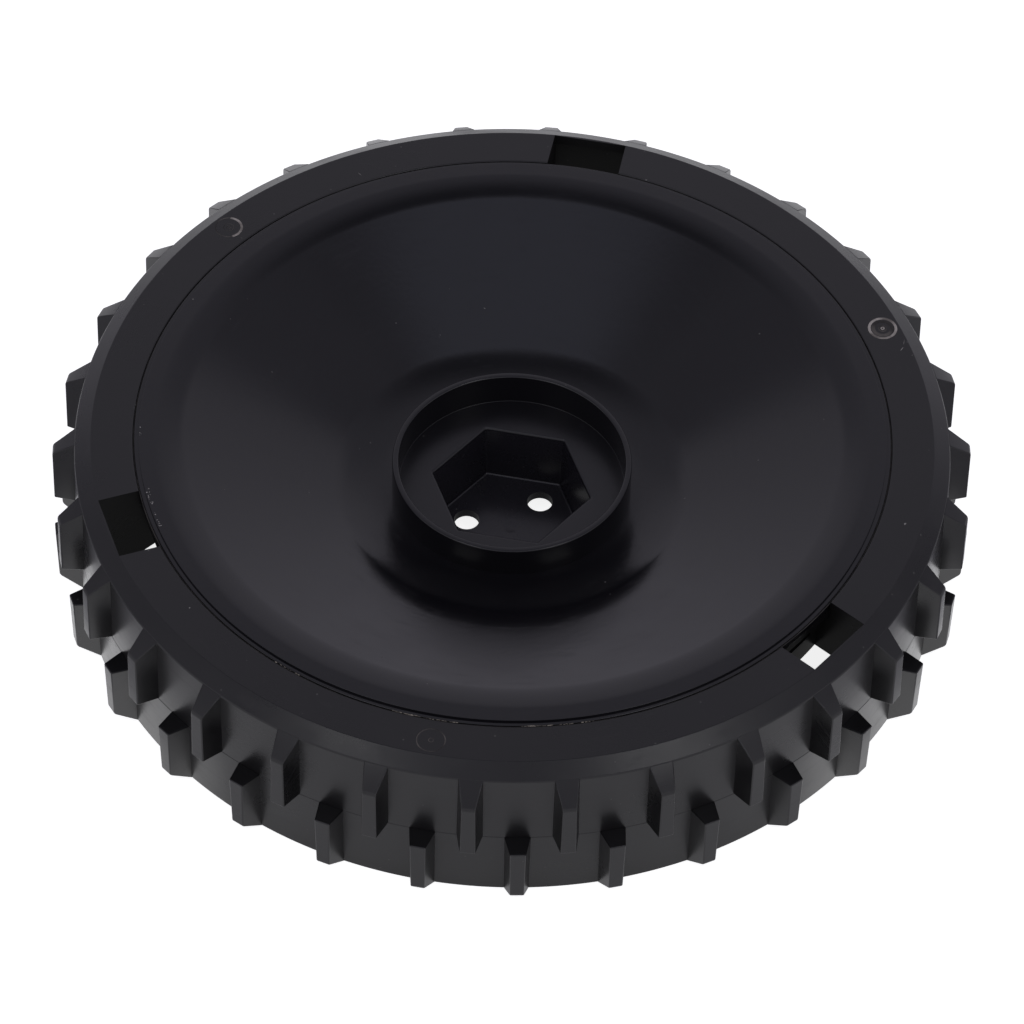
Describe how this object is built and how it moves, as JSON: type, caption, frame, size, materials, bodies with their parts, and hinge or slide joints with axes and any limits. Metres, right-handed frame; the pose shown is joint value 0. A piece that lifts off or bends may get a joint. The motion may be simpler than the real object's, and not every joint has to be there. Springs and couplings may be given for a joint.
{
  "type": "lawn mower wheel",
  "caption": "Flat moulded drive wheel with staggered tread lugs, a dished snap-in disc, a raised collar and a hexagonal drive socket.",
  "frame": {"origin": "on the wheel's axis, in the plane of the tread ring's lower edge, which it lies on", "axes": "+Z along the wheel's axis, towards the outside of the machine; one window is on +Y"},
  "size_m": [0.212, 0.212, 0.0411],
  "materials": {
    "tread_plastic": "satin black",
    "disc_plastic": "glossy black"
  },
  "bodies": {
    "root": {"tread_ring": "tread_plastic", "wheel_disc": "disc_plastic"}
  },
  "joints": []
}
